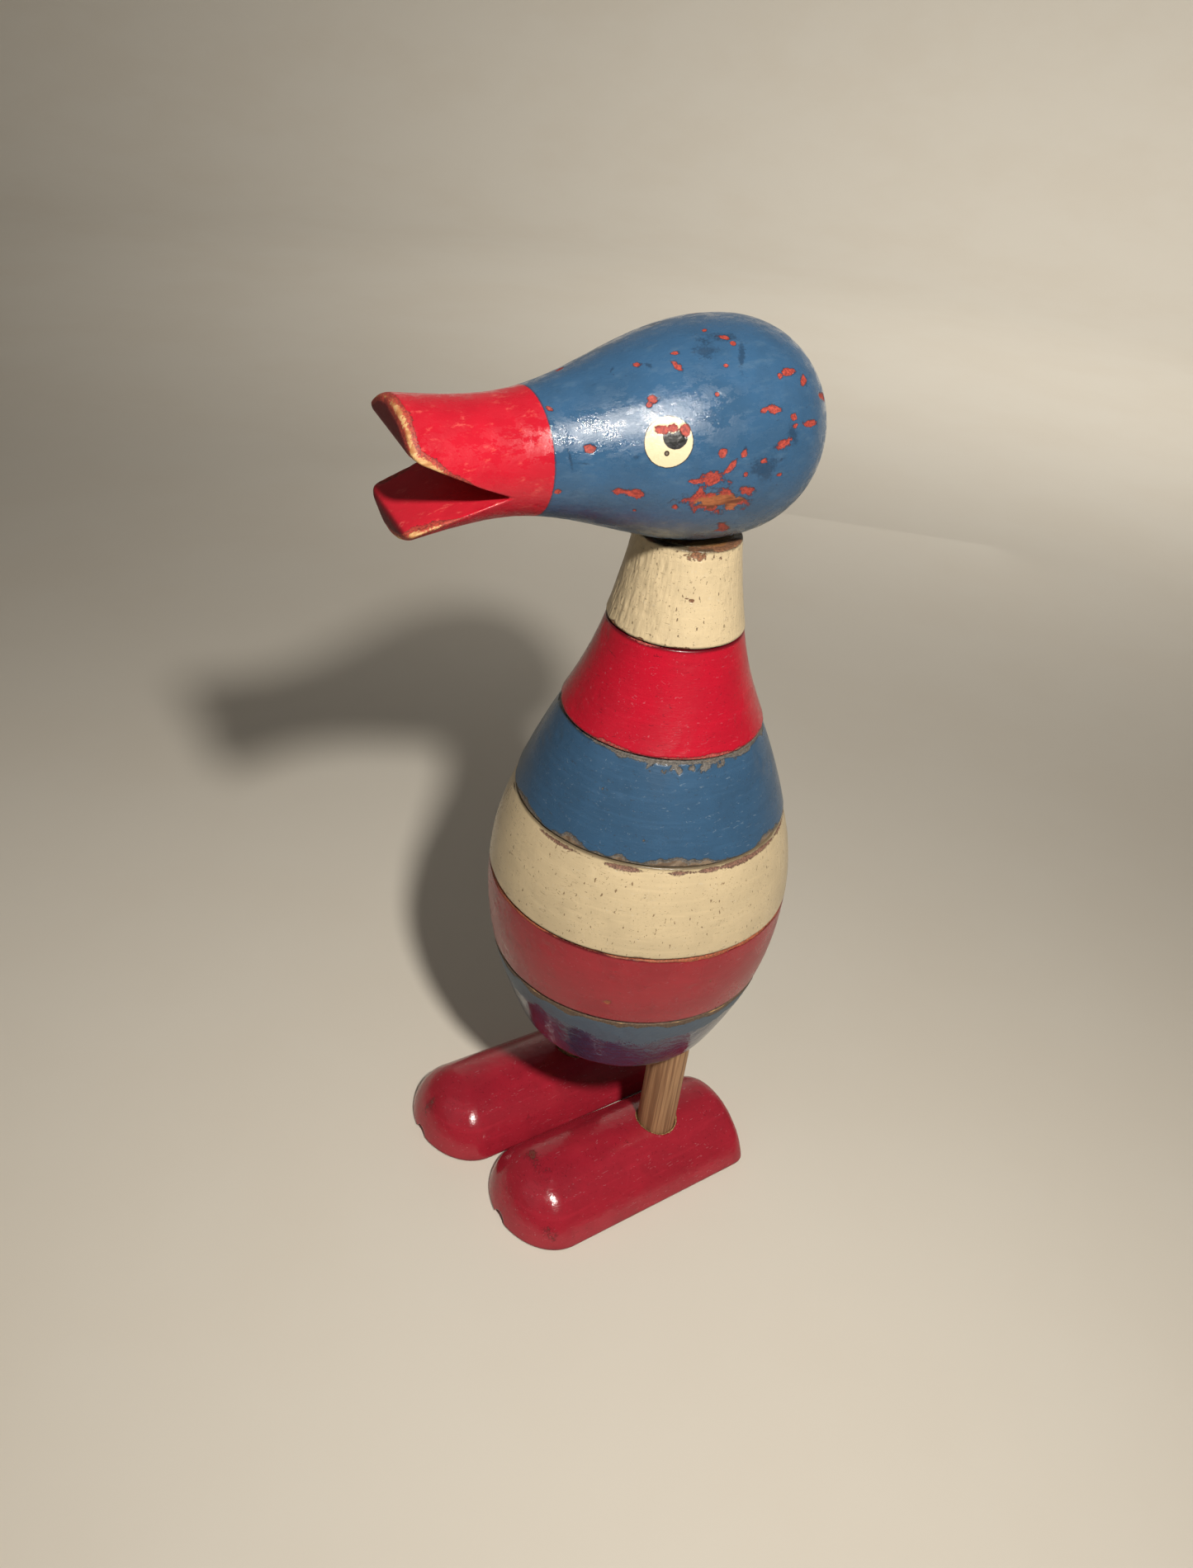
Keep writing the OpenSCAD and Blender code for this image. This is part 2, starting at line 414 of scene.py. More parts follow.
# node, body, slot, belly, seed, wear at the top rim, wear at the bottom rim. Belly is how far the middle of
# the side bulges past a straight taper. Wear is mean reach, spread of that, and how far from the rim it starts.
RINGS = [
    ("neck_ring", "neck", "cream_enamel", -0.3, 3, (-0.2, 1.1, 0.0), (0.0, 1.9, 0.0)),
    ("upper_red_ring", "upper_red", "red_enamel", -0.8, 7, (-0.1, 0.6, 0.0), (0.25, 1.2, 0.5)),
    ("blue_ring", "blue", "blue_enamel", 0.4, 11, (1.1, 1.6, 0.0), (1.3, 2.6, 0.0)),
    ("cream_ring", "cream", "cream_enamel", 1.1, 13, (0.22, 1.2, 1.2), (0.2, 0.9, 0.0)),
    ("lower_red_ring", "lower_red", "red_enamel", 0.75, 17, (0.4, 0.8, 0.0), (-0.2, 0.8, 0.0)),
]
# rubbed spots: direction in degrees, share of the ring's height, half width, half height in mm
RUBS = {
    "neck_ring": [(54, 0.50, 1.2, 0.6), (48, 0.52, 1.0, 0.5), (48, 0.95, 10.0, 1.6)],
    "upper_red_ring": [(36, 0.55, 0.5, 0.4), (170, 0.3, 2.0, 1.0)],
    "blue_ring": [(44, 0.24, 2.0, 0.8), (19, 0.62, 0.8, 0.8), (66, 0.93, 12.0, 1.8), (200, 0.5, 2.4, 1.2)],
    "cream_ring": [(10, 0.22, 0.9, 0.9), (240, 0.4, 1.6, 1.0)],
    "lower_red_ring": [(38, 0.30, 2.0, 1.8), (75, 0.6, 1.2, 0.5)],
}


def ring_material(node):
    if node == "blue_ring":
        return enamel("blue_ring_enamel", BLUE, (118, 112, 106), wood=((136, 118, 98), (104, 84, 66)),
                      grime_and_shade=(54, 62, 72))
    if node == "neck_ring":
        return enamel("neck_ring_enamel", CREAM, (160, 112, 80), grime_and_shade=(84, 64, 46), gloss=0.34, mottle=0.2,
                      speck=0.12, fibre=0.20)
    if node == "cream_ring":
        return enamel("cream_ring_enamel", CREAM, (158, 118, 100), grime_and_shade=(112, 86, 62), gloss=0.26,
                      mottle=0.2, speck=0.12, fibre=0.06)
    if node == "upper_red_ring":
        return enamel("upper_red_ring_enamel", (186, 20, 44), (206, 96, 88), grime_and_shade=(96, 16, 30), mottle=0.25)
    # The lower ring's red is painted darker than the upper ring's: painted shade, as it gets less of the light
    # from above.
    return enamel("lower_red_ring_enamel", (158, 29, 43), (190, 104, 70), grime_and_shade=(90, 26, 30))


def rim_field(points, low, high, top, bottom, seed):
    """Above 0 where the enamel has worn off near the upper or lower rim."""
    around = points * (1, 1, 0.35)
    top_reach = top[0] + top[1] * fractal(around, 7, seed, 5)
    bottom_reach = bottom[0] + bottom[1] * fractal(around, 7, seed + 5, 5)
    top_wear = top_reach - np.abs(high - top[2] - points[:, 2])
    bottom_wear = bottom_reach - np.abs(points[:, 2] - low - bottom[2])
    return np.maximum(top_wear, bottom_wear)


def rub_field(node, points, low, high, seed):
    """Above 0 inside the rubbed spots of a ring."""
    turn = np.degrees(np.arctan2(points[:, 1], points[:, 0]))
    radius = np.hypot(points[:, 0], points[:, 1])
    found = np.full(len(points), -3.0)
    for at, share, width, height in RUBS[node]:
        u = np.radians((turn - at + 180) % 360 - 180) * radius / width
        v = (points[:, 2] - low - share * (high - low)) / height
        found = np.maximum(found, 0.25 - np.hypot(u, v))
    return found + 1.1 * fractal(points, 1.4, seed, 3)


def seam_radii(node):
    """Outer radius at the bottom and at the top of a ring, from the CAD nodes' own vertices."""
    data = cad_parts[node].data
    points = np.empty(len(data.vertices) * 3)
    data.vertices.foreach_get("co", points)
    points = points.reshape(-1, 3) / M
    radius = np.hypot(points[:, 0], points[:, 1])
    low, high = points[:, 2].min(), points[:, 2].max()
    outer = radius > BORE_R + 1
    bottom = radius[outer & (points[:, 2] < low + 1.2)].max()
    top = radius[outer & (points[:, 2] > high - 1.2)].max()
    return bottom, top, low, high


def build_ring(node, body, slot, belly, seed, top_wear, bottom_wear):
    """One ring, turned, with its wear sunk into the side. Its flats and bore are bare wood."""
    r0, r1, low, high = seam_radii(node)
    share = np.linspace(0, 1, 80)
    side = np.column_stack([
        r0 + (r1 - r0) * share + 4 * belly * share * (1 - share) - SIDE_INSET,
        low + RIM + (high - low - 2 * RIM) * share,
    ])
    outline = np.vstack([
        line((BORE_R + 0.4, low), (side[0, 0] - RIM, low), 26)[:-1],
        corner_arc((side[0, 0] - RIM, low + RIM), RIM, -90, 0, 6)[:-1],
        side,
        corner_arc((side[-1, 0] - RIM, high - RIM), RIM, 0, 90, 6)[1:],
        line((side[-1, 0] - RIM, high), (BORE_R + 0.4, high), 26)[1:],
        line((BORE_R, high - 0.4), (BORE_R, low + 0.4), 12),
    ])

    def worn(points):
        return np.maximum(rim_field(points, low, high, top_wear, bottom_wear, seed),
                          rub_field(node, points, low, high, seed + 40))

    def sink(points):
        radius = np.hypot(points[:, 0], points[:, 1])
        outer = smooth_step(radius, BORE_R + 1, BORE_R + 3)
        dents = np.clip(fractal(points, 6, seed + 20), 0.4, 1) - 0.4
        chips = smooth_step(worn(points), -0.2, 0.4) * (0.06 + 0.12 * (1 + fractal(points, 2.0, seed + 30)))
        waves = 0.05 * (1 + fractal(points, 14, seed + 9)) + 0.03 * (1 + fractal(points, 4, seed + 15))
        depth = waves + 0.3 * dents
        if node == "neck_ring":  # raised fibres, strongest at the front
            turn = np.degrees(np.arctan2(points[:, 1], points[:, 0]))
            rough = 0.35 + 0.65 * smooth_step(-np.abs((turn + 5 + 180) % 360 - 180), -60, -25)
            depth = depth + 0.15 * rough * (1 + fractal(points * (1, 1, 0.28), 1.15, seed + 50))
        flat = smooth_step(points[:, 2], low, low + 0.5) * smooth_step(-points[:, 2], -high, -high + 0.5)
        return outer * (depth + chips) * (0.3 + 0.7 * flat)

    piece, points = lathe(node + "_skin", outline, int(560 / COARSE), sink=sink)
    field = worn(points)
    radius = np.hypot(points[:, 0], points[:, 1])
    rim_gap = np.minimum(points[:, 2] - low, high - points[:, 2])
    hidden = (rim_gap < 0.3) | (radius < BORE_R + 1)
    outer_radius = np.where(points[:, 2] < (low + high) / 2, r0, r1)
    unpainted = outer_radius - BARE_EDGE + 1.6 * fractal(points, 8, seed + 60) - radius
    field = np.where(hidden, np.maximum(field, unpainted), field)
    set_field(piece.data, "chip", field)
    set_field(piece.data, "wear", np.where(hidden, unpainted, field - 0.9))
    # Darker along the top and bottom rims, where the rings meet one another.
    near_edge = np.where(radius > outer_radius - 2.5, 1, 0)
    set_field(piece.data, "darkening", smooth_step(-rim_gap, -0.9, -0.1) * near_edge)
    set_place(piece.data, points)
    piece.data.materials.append(ring_material(node))
    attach(piece, body)
    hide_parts(node)


for ring in RINGS:
    build_ring(*ring)


# ------------------------------------------------------------------ bowl

LEG_X, LEFT_Y, RIGHT_Y = -1.2, 22.9, -17.0
BOWL_R = 29.4  # of the underside
BOWL_BELLY = 3.2
LEG_SOCKET = 17
SPINDLE_SOCKET_FLOOR = 10


def build_bowl():
    low, high = span("base_bowl")
    z0, z1 = low[2], high[2]
    r0, r1 = BOWL_R, high[0] - 0.1
    wear = ((1.7, 2.4, 0.0), (-4.0, 0.5, 0.0))  # as in RINGS, with none at the bottom

    def shape(p):
        radius = np.hypot(p[:, 0], p[:, 1])
        share = (p[:, 2] - z0) / (z1 - z0)
        wanted = r0 + (r1 - r0) * share + BOWL_BELLY * share * (1 - share)
        slope = ((r1 - r0) + BOWL_BELLY * (1 - 2 * share)) / (z1 - z0)
        solid = smooth_max((radius - wanted) / np.sqrt(1 + slope**2), z0 - p[:, 2], 4.0)
        solid = smooth_max(solid, p[:, 2] - z1, 0.8)
        solid = np.maximum(solid, -np.maximum(radius - 6.2, z0 + SPINDLE_SOCKET_FLOOR - p[:, 2]))
        for y in (LEFT_Y, RIGHT_Y):
            hole = np.hypot(p[:, 0] - LEG_X, p[:, 1] - y) - 6.25
            solid = np.maximum(solid, -np.maximum(hole, p[:, 2] - z0 - LEG_SOCKET))
        return solid

    def detail(p):
        outside = smooth_step(np.hypot(p[:, 0], p[:, 1]), 27, 30)
        chip = rim_field(p, z0, z1, *wear, 23)
        return outside * (0.05 * (1 + fractal(p, 12, 24)) + smooth_step(chip, -0.2, 0.4) * 0.2) + 0.02

    piece, points = carve("base_bowl_skin", "base_bowl", shape, detail, 0.5)
    chip = rim_field(points, z0, z1, *wear, 23)
    radius = np.hypot(points[:, 0], points[:, 1])
    hidden = (points[:, 2] > z1 - 0.3) | (radius < BORE_R + 0.5)
    unpainted = r1 - BARE_EDGE + 1.6 * fractal(points, 8, 26) - radius
    set_field(piece.data, "chip", np.where(hidden, np.maximum(chip, unpainted), chip))
    set_field(piece.data, "wear", np.where(hidden, unpainted, chip - 1.9))
    # Darker along the top rim, where the bowl meets the ring above.
    rim_darkening = smooth_step(points[:, 2] - z1, -0.9, -0.1) * smooth_step(radius, r1 - 3, r1 - 2)
    set_field(piece.data, "darkening", rim_darkening)
    set_field(piece.data, "dull", (points[:, 2] - z1 + 9) / 3 + 1.8 * fractal(points, 9, 27, 5))
    set_place(piece.data, points)
    piece.data.materials.append(
        enamel("bowl_enamel", (38, 54, 84), (118, 94, 74), grime_and_shade=(44, 52, 66), gloss=0.06, wave=0.35,
               dull=(78, 100, 118)))
    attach(piece, "base")
    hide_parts("base_bowl")


build_bowl()


# ------------------------------------------------------------------ dowels

DOWEL_R = 6.0
DOWEL_EDGE = 0.6


def build_dowel(node, x, y):
    low, high = span(node)
    core = DOWEL_R - DOWEL_EDGE
    outline = np.vstack([
        [[0.5, low[2]]],
        corner_arc((core, low[2] + DOWEL_EDGE), DOWEL_EDGE, -90, 0),
        line((DOWEL_R, low[2] + 1), (DOWEL_R, high[2] - 1), 60),
        corner_arc((core, high[2] - DOWEL_EDGE), DOWEL_EDGE, 0, 90),
        [[0.5, high[2]]],
    ])

    def sink(points):
        return 0.03 * (1 + fractal(points * (1, 1, 0.08), 1.6, 41)) + 0.02

    piece, points = lathe(node + "_skin", outline, 96, axis=(x, y), closed=False, sink=sink)
    set_place(piece.data, points)
    piece.data.materials.append(pine_dowel(node + "_pine"))
    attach(piece, "base")
    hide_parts(node)


build_dowel("left_leg", LEG_X, LEFT_Y)
build_dowel("right_leg", LEG_X, RIGHT_Y)
build_dowel("spindle", 0, 0)


# ------------------------------------------------------------------ feet

FOOT_R = 19.8
FOOT_AXIS_Z = -4.8  # the bar's axis at the leg: its top there is 15 mm above the floor
FOOT_RISE = math.radians(1.6)
HEEL_X = 25.0
TOE_X = 41.2
TOE_LEN = 15.5
LEG_HOLE_R = 6.15
LEG_HOLE_FLOOR = 3


def build_foot(node, leg_y, turn, seed):
    """A turned bar with a round toe, sawn flat underneath, turned by that many degrees to the right."""
    turn = math.radians(-turn)
    cos, sin = math.cos(turn), math.sin(turn)

    def local(p):
        x, y = p[:, 0] - LEG_X, p[:, 1] - leg_y
        return np.column_stack([cos * x + sin * y, -sin * x + cos * y, p[:, 2]])

    def shape(p):
        q = local(p)
        over = q[:, 2] - FOOT_AXIS_Z
        along = math.cos(FOOT_RISE) * q[:, 0] + math.sin(FOOT_RISE) * over
        radius = np.hypot(q[:, 1], math.cos(FOOT_RISE) * over - math.sin(FOOT_RISE) * q[:, 0])
        past = np.maximum(along - TOE_X, 0) / TOE_LEN
        dome = past**2 + (radius / FOOT_R) ** 2 - 1
        slope = 2 * np.hypot(past / TOE_LEN, radius / FOOT_R**2)
        outside = np.where(along > TOE_X, dome / np.maximum(slope, 1e-3), radius - FOOT_R)
        solid = smooth_max(outside, -HEEL_X - along, 5.0)
        solid = smooth_max(solid, -q[:, 2], 1.2)
        hole = np.maximum(np.hypot(q[:, 0], q[:, 1]) - LEG_HOLE_R, LEG_HOLE_FLOOR - q[:, 2])
        solid = smooth_max(solid, -hole, 0.35)
        notch = np.maximum(np.hypot(q[:, 1] * 0.9, q[:, 2]) - 2.4, TOE_X + TOE_LEN - 2.6 - q[:, 0])
        return smooth_max(solid, -notch, 0.5)

    def detail(p):
        q = local(p)
        top = smooth_step(q[:, 2], 0.2, 2) * smooth_step(np.hypot(q[:, 0], q[:, 1]), 6.8, 8)
        dents = np.clip(fractal(q, 7, seed + 6), 0.45, 1) - 0.45
        return 0.03 + top * (0.05 * (1 + fractal(q, 12, seed)) + 0.3 * dents)

    piece, points = carve(node + "_skin", node, shape, detail, 0.45)
    q = local(points)
    hole = np.hypot(q[:, 0], q[:, 1])
    floor_edge = np.minimum(0.2 + 0.9 * fractal(q, 8, seed + 3, 4) - q[:, 2], 0.4)
    rubbed = np.clip(fractal(q, 9, seed + 8, 5) - 0.85, -1, 0.2) - np.where(q[:, 0] > 20, 0.0, 0.25)
    chip = np.maximum.reduce([(6.6 - hole) * 1.2, floor_edge, rubbed])
    set_field(piece.data, "chip", chip)
    set_field(piece.data, "wear", np.where(hole < 7.0, 1.0, chip - 0.5))
    # Darker along the bottom edge, where the foot meets the floor.
    set_field(piece.data, "darkening", smooth_step(-q[:, 2], -1.6, -0.1) * 0.8)
    set_place(piece.data, q)
    piece.data.materials.append(
        enamel(node + "_enamel", (168, 37, 53), (170, 84, 68), grime_and_shade=(96, 22, 32), gloss=0.13, mottle=0.35,
               wave=0.2))
    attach(piece, "base")
    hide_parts(node)


build_foot("left_foot", LEFT_Y, 9.5, 51)
build_foot("right_foot", RIGHT_Y, 10.0, 57)


# ------------------------------------------------------------------ head

HEAD_R = 24.6
HEAD_BACK = 27.8
HEAD_FRONT = 76.2
WAIST_X = 54.0
WAIST_R = 12.8
FLARE = 2.2
MOUTH_X = 54.0
MOUTH_DROP = 2.9
MOUTH_TILT = math.radians(6)  # the mouth against the eyes
UPPER_SLOPE = math.radians(25.5)
LOWER_SLOPE = math.radians(16.5)
BILL_PAINT_X = 45.3
EYE_X, EYE_ANGLE, EYE_R = 22.3, 32.0, 5.1

HEAD_BORE_R = 6.1
HEAD_BORE_TOP = 223.5

HEAD_LOW = span("head")[0][2]
HEAD_AXIS_Z = HEAD_LOW + HEAD_R - 0.7  # the round is cut flat 0.7 mm above its lowest point
HEAD_TO_ROW = np.array(Euler((math.radians(-15), math.radians(2.3), math.radians(-13)), "XYZ").to_matrix())


def to_head(points):
    """Places in the head's own frame: X along the bill, Y out of its left side, Z up between the eyes."""
    return (points - (0, 0, HEAD_AXIS_Z)) @ HEAD_TO_ROW


def head_radius(x):
    neck = WAIST_R + (HEAD_R - WAIST_R) * (1 + np.cos(np.pi * np.clip(x, 0, WAIST_X) / WAIST_X)) / 2
    tip = WAIST_R + FLARE * np.clip((x - WAIST_X) / (HEAD_FRONT - WAIST_X), 0, 1.2) ** 1.7
    return np.where(x < WAIST_X, neck, tip)


# place along the head, angle up from its left side, half length, half width, tilt (mm and degrees)
CHIPS = [
    (44, 71, 1.0, 0.5, 45), (24, 83, 1.0, 0.7, 40), (17, 74, 1.8, 0.6, 70), (16, 82, 0.7, 0.5, 20),
    (7, 92, 0.6, 0.5, 0), (4, 84, 1.1, 0.7, 20), (3, 79, 0.5, 0.5, 0), (7, 67, 0.7, 0.5, 0),
    (-8, 60, 1.7, 0.7, 175), (-5, 58, 0.6, 0.5, 130), (-12, 56, 1.5, 0.8, 130), (-19, 48, 1.6, 1.0, 0),
    (-2, 42, 1.6, 0.9, 5), (1, 42, 1.0, 0.5, 170), (24, 58, 0.9, 0.7, 20), (25, 55, 0.5, 0.5, 0),
    (11, 53, 0.5, 0.5, 0), (-7, 37, 0.8, 0.7, 0), (-7, 33, 0.7, 0.5, 0), (-12, 33, 2.0, 0.6, 5),
    (-4, 25, 1.9, 0.8, 175), (6, 23, 0.7, 0.6, 90), (11, 24, 0.7, 0.7, 60), (1, 18, 0.9, 0.6, 15),
    (5, 12, 0.7, 0.5, 30), (-4, 9, 0.9, 0.5, 15), (9, 16, 1.4, 0.6, 130), (12, 10, 2.7, 1.2, 5),
    (10, -3, 7.0, 2.7, 4), (4, 2, 2.6, 1.1, 20), (29, -1, 3.0, 1.0, 5), (19, -9, 0.7, 0.6, 40),
    (27, -16, 0.6, 0.5, 60), (5, -26, 2.6, 1.3, 60), (38, 33, 1.1, 0.7, 35), (44, -3, 0.7, 0.5, 10),
    (16, 9, 1.2, 0.4, 0), (30, 150, 1.8, 0.9, 0), (8, 165, 2.6, 1.0, 30), (-10, 140, 1.2, 1.8, 0),
    (20, 200, 1.8, 1.0, 10), (-14, 190, 1.6, 0.9, 40), (0, 230, 1.2, 2.0, 0), (36, 120, 1.0, 0.6, 0),
    (2, 120, 1.4, 0.8, 30),
]
# the same for flakes off the left eye, and for smudges and dark scratches in the blue
EYE_CHIPS = [(23.4, 39.5, 1.5, 0.8, 10), (18.8, 37.5, 1.2, 1.0, 80), (21.2, 39.5, 1.0, 0.8, 0)]
SMUDGES = [
    (10, 78, 4.2, 2.4, 120), (3, 69, 5.0, 0.8, 115), (4, 84, 4.0, 1.6, 20), (29, 87, 1.1, 0.3, 135),
    (22, 80, 1.4, 0.6, 70), (-6, 30, 3.0, 1.4, 60), (6, 24, 1.4, 0.4, 90), (0, 14, 4.0, 3.0, 0),
    (42, 25, 2.6, 0.3, 80), (39, 22, 2.4, 0.3, 5), (29, 24, 0.9, 0.6, 0), (-12, 55, 1.6, 1.2, 130),
    (14, 120, 5.0, 2.0, 20), (-8, 170, 4.0, 1.5, 0),
]
BARE_PATCH = (10, -2, 7.0, 3.2)  # the big worn patch: place, angle, half length, half width


def spot_field(q, spots, warp, seed):
    """Above 0 inside ragged spots on the head, below 0 outside."""
    angle = np.degrees(np.arctan2(q[:, 2], q[:, 1]))
    radius = np.hypot(q[:, 1], q[:, 2])
    found = np.full(len(q), -3.0)
    for x, at, length, width, tilt in spots:
        along = q[:, 0] - x
        across = np.radians((angle - at + 180) % 360 - 180) * radius
        lean = math.radians(tilt)
        u = along * math.cos(lean) + across * math.sin(lean)
        v = across * math.cos(lean) - along * math.sin(lean)
        found = np.maximum(found, 1 - np.hypot(u / length, v / width))
    return found + warp * fractal(q * (0.7, 1, 1), 1.5, seed, 3)


def chip_field(q):
    return np.maximum(spot_field(q, CHIPS, 0.75, 71), spot_field(q, EYE_CHIPS, 0.3, 72))


def mouth_cuts(q):
    """Height above the upper jaw's cut, and depth below the lower jaw's cut."""
    x = q[:, 0] - MOUTH_X
    z = q[:, 2] * math.cos(MOUTH_TILT) - q[:, 1] * math.sin(MOUTH_TILT) + MOUTH_DROP
    upper = z * math.cos(UPPER_SLOPE) - x * math.sin(UPPER_SLOPE)
    lower = -z * math.cos(LOWER_SLOPE) - x * math.sin(LOWER_SLOPE)
    return upper, lower


def head_shape(p):
    q = to_head(p)
    radius = np.hypot(q[:, 1], q[:, 2])
    behind = np.clip(-q[:, 0], 0, None) / HEAD_BACK
    back = behind**2.5 + (radius / HEAD_R) ** 2 - 1
    back_slope = np.hypot(2.5 / HEAD_BACK * behind**1.5, 2 * radius / HEAD_R**2)
    front_x = np.maximum(q[:, 0], 0)
    slope = (head_radius(front_x + 0.05) - head_radius(front_x - 0.05)) / 0.1
    front = (radius - head_radius(front_x)) / np.sqrt(1 + slope**2)
    solid = np.where(q[:, 0] < 0, back / np.maximum(back_slope, 1e-3), front)
    solid = smooth_max(solid, q[:, 0] - HEAD_FRONT + 0.1, 2.4)
    upper, lower = mouth_cuts(q)
    solid = smooth_max(solid, -np.maximum(upper, lower), 0.5 + 1.1 * smooth_step(q[:, 0], 60, 75))
    solid = smooth_max(solid, HEAD_LOW - p[:, 2], 0.5)
    bore = np.maximum(np.hypot(p[:, 0], p[:, 1]) - HEAD_BORE_R, p[:, 2] - HEAD_BORE_TOP)
    return np.maximum(solid, -bore)


def head_detail(p):
    q = to_head(p)
    off_bore = smooth_step(np.hypot(p[:, 0], p[:, 1]) - np.clip(p[:, 2] - 223, 0, 1) * 9, -3, 9)
    outside = off_bore * smooth_step(p[:, 2], HEAD_LOW, HEAD_LOW + 1.0)
    worn = smooth_step(bill_wear(q), -0.6, 0.8) * (0.10 + 0.10 * (1 + fractal(q, 3, 78)))
    chips = 0.13 * smooth_step(chip_field(q), -0.15, 0.15)
    marks = np.where(q[:, 0] > BILL_PAINT_X, worn, chips)
    return 0.03 + outside * (0.05 * (1 + fractal(q, 13, 75)) + marks)


def bill_wear(q):
    """Above 0 where the bill's edges are worn to the undercoat, and above 1 where they are bare wood."""
    off_skin = np.hypot(q[:, 1], q[:, 2]) - head_radius(np.maximum(q[:, 0], 0))
    upper, lower = mouth_cuts(q)
    rim = 2.2 - np.hypot(HEAD_FRONT - q[:, 0], off_skin)
    front = smooth_step(q[:, 0], 57, 75)
    near = np.where(q[:, 1] > 0, 0.8, 0.0)
    jaw = (2.0 + near) * front - 0.35 - np.hypot(np.minimum(np.abs(upper), np.abs(lower)), off_skin)
    return np.maximum(rim, jaw) + 0.7 * fractal(q, 4, 81, 4)


